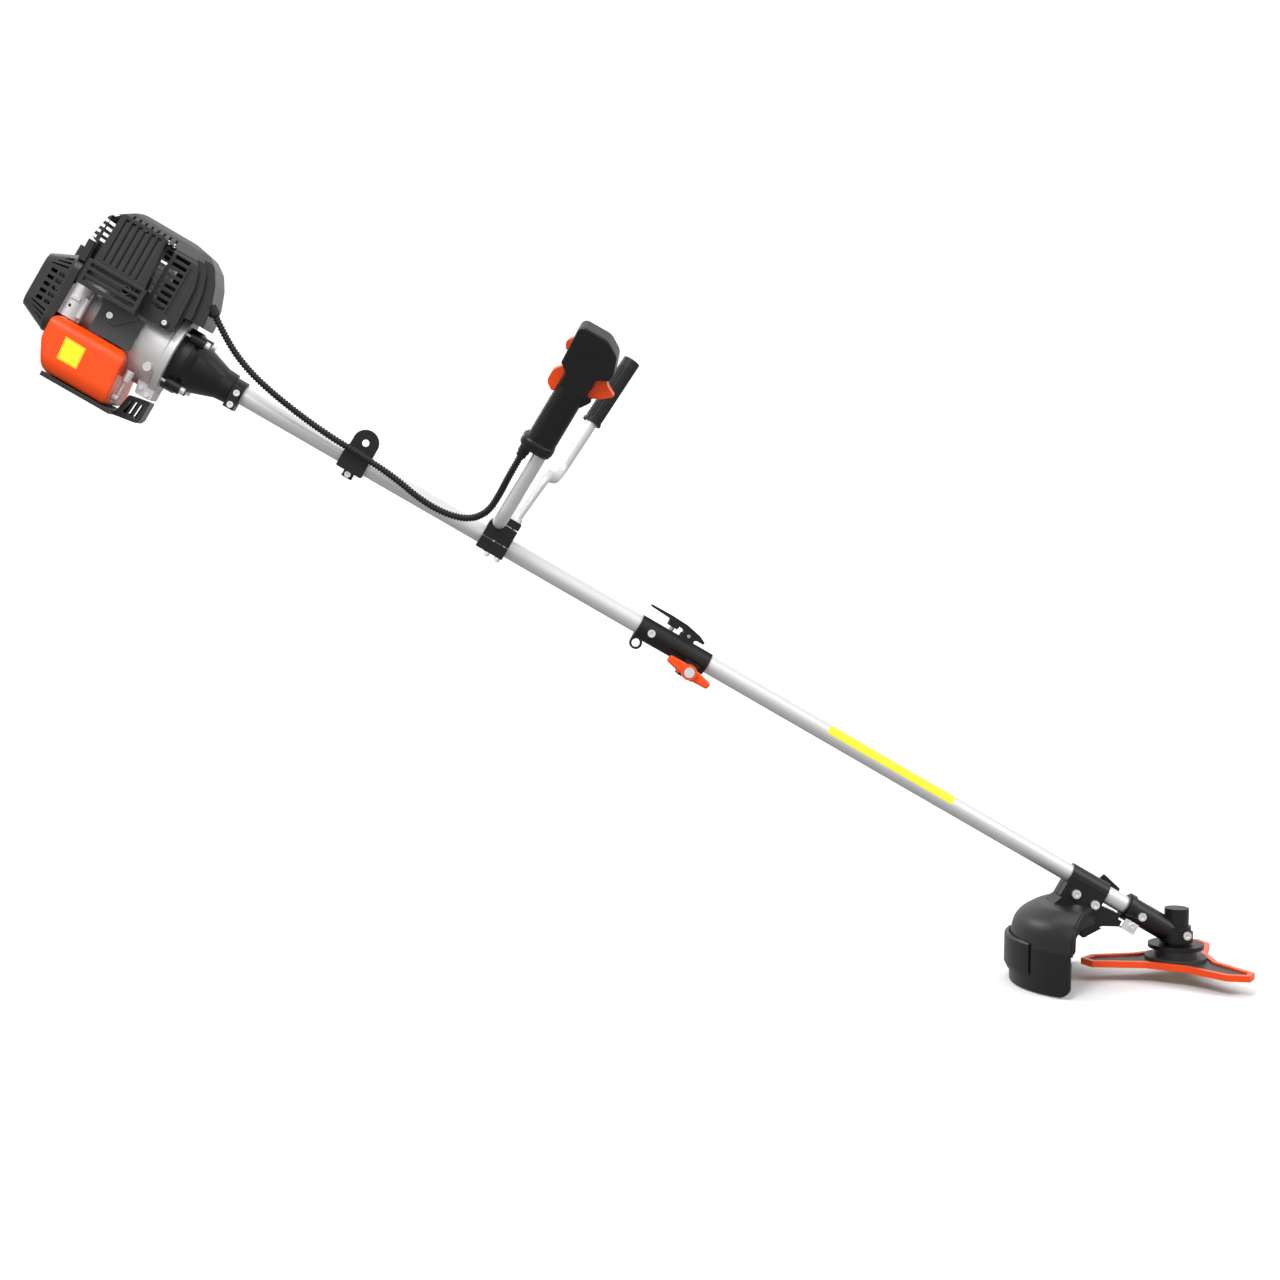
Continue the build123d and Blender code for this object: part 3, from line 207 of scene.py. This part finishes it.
def paint(node, mat, chosen):
    """Second finish for the faces of a node whose centres, in shaft millimetres, are chosen."""
    mesh = nodes[node].data
    mesh.materials.append(mat)
    for face in mesh.polygons:
        s, y, n = (FROM_ROW @ face.center) / MM
        if chosen(s, y, n):
            face.material_index = 1


KNOB = (89, -22.5)
KNOB_SCREW_R = 7.6
KNOB_SCREW_HEAD = (-41.5, -36.9)
KNOB_SCREW_SHANK = -21.9
GEAR_PLATE_S = 820
FILTER_BASE_Y = 86.1


def on_knob_screw(s, y, n):
    """Whether a point is on the head or the shank of the knob's screw, and not on its wing."""
    near = math.hypot(s - KNOB[0], n - KNOB[1]) < KNOB_SCREW_R
    return near and (KNOB_SCREW_HEAD[0] < y < KNOB_SCREW_HEAD[1] or y > KNOB_SCREW_SHANK)


paint("coupler_knob", finishes["zinc_steel"], on_knob_screw)
paint("guard_bracket", finishes["zinc_steel"], lambda s, y, n: s > GEAR_PLATE_S)
paint("blade_nut", brass, lambda s, y, n: True)
paint("carburettor", finishes["black_plastic"], lambda s, y, n: y > FILTER_BASE_Y)


# ---- shapes ------------------------------------------------------------------------------------
def add_mesh(name, points, faces, mat, smooth=True):
    """Object in the scene, from points in metres."""
    mesh = bpy.data.meshes.new(name)
    mesh.from_pydata([tuple(p) for p in points], [], faces)
    mesh.materials.append(mat)
    for face in mesh.polygons:
        face.use_smooth = smooth
    mesh.update()
    obj = bpy.data.objects.new(name, mesh)
    bpy.context.scene.collection.objects.link(obj)
    return obj


def tube_mesh(name, path, radii, mat, around):
    """Tube whose rings follow a path without twisting."""
    points, faces = [], []
    side = None
    for i, here in enumerate(path):
        ahead = path[min(i + 1, len(path) - 1)]
        behind = path[max(i - 1, 0)]
        tangent = (ahead - behind).normalized()
        if side is None:
            side = tangent.orthogonal().normalized()
        side = (side - tangent * side.dot(tangent)).normalized()
        other = tangent.cross(side)
        for k in range(around):
            angle = 2 * math.pi * k / around
            points.append(here + (side * math.cos(angle) + other * math.sin(angle)) * radii[i])
    for i in range(len(path) - 1):
        for k in range(around):
            a, b = i * around + k, i * around + (k + 1) % around
            faces.append((a, b, b + around, a + around))
    faces.append(tuple(range(around))[::-1])
    faces.append(tuple(range((len(path) - 1) * around, len(path) * around)))
    return add_mesh(name, points, faces, mat)


# ---- throttle conduit --------------------------------------------------------------------------
CONDUIT_R = 0.005
CONDUIT_GROOVE = 0.0012
CONDUIT_STEP = 0.0011
CONDUIT_SIDES = 16
ROUTE = [(-712, -50, 75), (-680, -47, 52), (-640, -42, 34), (-597, -36, 23.5), (-548, -31, 16),
         (-500, -29, 11.5), (-448, -29, 10.5), (-398, -28, 7), (-352, -27, -1.5), (-312, -29, -1),
         (-281, -40, 9), (-265, -58, 30), (-263.5, -74, 58), (-265.7, -95, 88.11), (-265.7, -109.08,
                                                                                    118.31)]


def nurbs_line(points, per_span=24):
    """Points along the NURBS curve with these control points."""
    curve = bpy.data.curves.new("route", "CURVE")
    curve.dimensions = "3D"
    curve.resolution_u = per_span
    spline = curve.splines.new("NURBS")
    spline.points.add(len(points) - 1)
    for control, p in zip(spline.points, points):
        control.co = (*p, 1)
    spline.order_u = 3
    spline.use_endpoint_u = True
    holder = bpy.data.objects.new("route", curve)
    bpy.context.scene.collection.objects.link(holder)
    bpy.context.view_layer.update()
    line = bpy.data.meshes.new_from_object(holder)
    path = [v.co.copy() for v in line.vertices]
    bpy.data.objects.remove(holder)
    bpy.data.meshes.remove(line)
    return path


def resample(path, step):
    """The same line with points at equal steps, and its length."""
    lengths = [0.0]
    for a, b in zip(path, path[1:]):
        lengths.append(lengths[-1] + (b - a).length)
    count = max(2, round(lengths[-1] / step))
    points, j = [], 0
    for i in range(count + 1):
        want = lengths[-1] * i / count
        while j < len(lengths) - 2 and lengths[j + 1] < want:
            j += 1
        share = (want - lengths[j]) / max(1e-9, lengths[j + 1] - lengths[j])
        points.append(path[j].lerp(path[j + 1], share))
    return points, lengths[-1]


def add_conduit():
    """Corrugated conduit along ROUTE; four steps make one rib and groove."""
    line = nurbs_line([at(*p) for p in ROUTE])
    path, length = resample(line, CONDUIT_STEP)
    groove = CONDUIT_R - CONDUIT_GROOVE
    radii = [(CONDUIT_R, CONDUIT_R, groove, groove)[i % 4] for i in range(len(path))]
    conduit = tube_mesh("conduit", path, radii, finishes["black_rubber"], CONDUIT_SIDES)
    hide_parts("throttle_conduit")
    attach(conduit, "frame")


# ---- labels ------------------------------------------------------------------------------------
TANK_FACE_Y = -78.05
TUBE_LABEL_R = 13.12
TUBE_LABEL_ENDS = (307, 516)
FILM = 0.3


def flat_label(name, corners, y, mat):
    """Thin plate on a face square to y, from (s, n) corners."""
    front = [at(s, y, n) for s, n in corners]
    back = [at(s, y + FILM, n) for s, n in corners]
    count = len(corners)
    faces = [tuple(range(count)), tuple(range(count, 2 * count))[::-1]]
    faces += [(i, i + count, (i + 1) % count + count, (i + 1) % count) for i in range(count)]
    label = add_mesh(name, front + back, faces, mat, smooth=False)
    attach(label, "frame")


def inset(corners, by):
    """Quadrilateral with its corners moved towards its middle."""
    cs = sum(c[0] for c in corners) / len(corners)
    cn = sum(c[1] for c in corners) / len(corners)
    return [(s + by * (1 if cs > s else -1), n + by * (1 if cn > n else -1)) for s, n in corners]


def add_labels():
    """Square with a dark line inside its edge on the tank, and a strip wrapped round the lower tube."""
    tank = [(-863, -48), (-833, -49), (-831, -79), (-860, -79)]
    flat_label("tank_label", tank, TANK_FACE_Y - 0.1, yellow)
    edge = inset(tank, 1.0)
    inner = inset(tank, 1.5)
    flat_label("tank_label_line", edge, TANK_FACE_Y - 0.18, label_edge)
    flat_label("tank_label_field", inner, TANK_FACE_Y - 0.26, yellow)

    s0, s1 = TUBE_LABEL_ENDS
    first, arc = 4, 68
    steps, rows = 14, 60
    points, faces = [], []
    for j in range(rows + 1):
        s = s0 + (s1 - s0) * j / rows
        for i in range(steps + 1):
            angle = math.radians(first + arc * i / steps)
            points.append(at(s, -TUBE_LABEL_R * math.cos(angle), TUBE_LABEL_R * math.sin(angle)))
    wide = steps + 1
    for j in range(rows):
        for i in range(steps):
            a = j * wide + i
            faces.append((a, a + 1, a + wide + 1, a + wide))
    strip = add_mesh("shaft_label", points, faces, yellow)
    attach(strip, "frame")


# ---- starter rope ------------------------------------------------------------------------------
ROPE_R = 0.00165


def add_rope():
    """Rope that pays out between the starter cover and its handle."""
    start, end = at(-928, 57, 30), at(-928, 69, 30)
    rings = 25
    path = [start.lerp(end, i / (rings - 1)) for i in range(rings)]
    rope = tube_mesh("starter_rope", path, [ROPE_R] * rings, finishes["black_rubber"], 12)
    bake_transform(rope)


add_conduit()
add_labels()
add_rope()

# ---- camera, floor and light -------------------------------------------------------------------
camera = bpy.data.objects.new("camera", bpy.data.cameras.new("camera"))
bpy.context.scene.collection.objects.link(camera)
camera.data.lens = 60
camera.data.sensor_width = 36
camera.data.clip_end = 100
right = Vector((0.99621547, -0.08680017, 0.00452385))
up = Vector((0.00231752, 0.07855523, 0.99690707))
forward = Vector((0.08688707, 0.99312376, -0.0784591))
camera.matrix_world = Matrix.Translation((0.120631, -2.981029, -0.038154)) @ Matrix(
    (right, up, -forward)).transposed().to_4x4()
bpy.context.scene.camera = camera
bpy.context.scene.view_settings.view_transform = "Standard"


def add_backdrop():
    """Floor that curves up into a wall, all round."""
    x = 0.2
    z = cad_box[0][2] - 0.002
    reach, bend, height = 5.0, 2.0, 8.0
    bend_steps, sides = 12, 64
    profile = [(reach, 0.0)]
    for i in range(1, bend_steps + 1):
        angle = math.radians(90 * i / bend_steps)
        profile.append((reach + bend * math.sin(angle), bend - bend * math.cos(angle)))
    profile.append((reach + bend, height))
    points, faces = [], []
    for r, h in profile:
        for k in range(sides):
            angle = 2 * math.pi * k / sides
            points.append((x + r * math.cos(angle), r * math.sin(angle), z + h))
    for j in range(len(profile) - 1):
        for k in range(sides):
            a, b = j * sides + k, j * sides + (k + 1) % sides
            faces.append((a, a + sides, b + sides, b))
    points.append((x, 0, z))
    middle = len(points) - 1
    faces += [(middle, k, (k + 1) % sides) for k in range(sides)]
    pale = build_material("pale_floor", (0.93, 0.93, 0.93), 0.75, 0.0, 0.01, 0.05, 40, 0.02, edge=0,
                          specular=0.2)
    floor = add_mesh("floor", points, faces, pale)
    floor.visible_diffuse = False
    floor.visible_glossy = False


add_backdrop()


def add_world(above, below):
    """Even white light from above that fades to a dimmer one below the horizon."""
    world = bpy.data.worlds.new("studio")
    bpy.context.scene.world = world
    world.use_nodes = True
    tree = world.node_tree
    sky = tree.nodes["Background"]
    sky.inputs["Color"].default_value = (1, 1, 1, 1)
    place = tree.nodes.new("ShaderNodeTexCoord")
    split = tree.nodes.new("ShaderNodeSeparateXYZ")
    fade = tree.nodes.new("ShaderNodeMapRange")
    fade.interpolation_type = "SMOOTHSTEP"
    fade.inputs["From Min"].default_value = -0.5
    fade.inputs["From Max"].default_value = 0.35
    fade.inputs["To Min"].default_value = below
    fade.inputs["To Max"].default_value = above
    tree.links.new(place.outputs["Generated"], split.inputs["Vector"])
    tree.links.new(split.outputs["Z"], fade.inputs["Value"])
    tree.links.new(fade.outputs["Result"], sky.inputs["Strength"])


add_world(0.95, 0.4)


def add_light(name, place, target, size, power):
    """Soft square lamp at a point, aimed at another."""
    lamp = bpy.data.objects.new(name, bpy.data.lights.new(name, "AREA"))
    bpy.context.scene.collection.objects.link(lamp)
    lamp.data.size = size
    lamp.data.energy = power
    lamp.location = place
    lamp.rotation_euler = (Vector(target) - Vector(place)).to_track_quat("-Z", "Y").to_euler()


MIDDLE = (0.3, 0, -0.2)
add_light("key_lamp", (-0.6, -2.4, 2.6), MIDDLE, 1.2, 75)
add_light("side_lamp", (3.4, -1.4, 1.4), MIDDLE, 1.5, 30)
add_light("rim_lamp", (-1.8, 2.2, 2.0), MIDDLE, 1.5, 40)
add_light("backdrop_lamp", (0.2, 2.6, 4.5), (0.2, 7.0, 1.0), 3.0, 160)
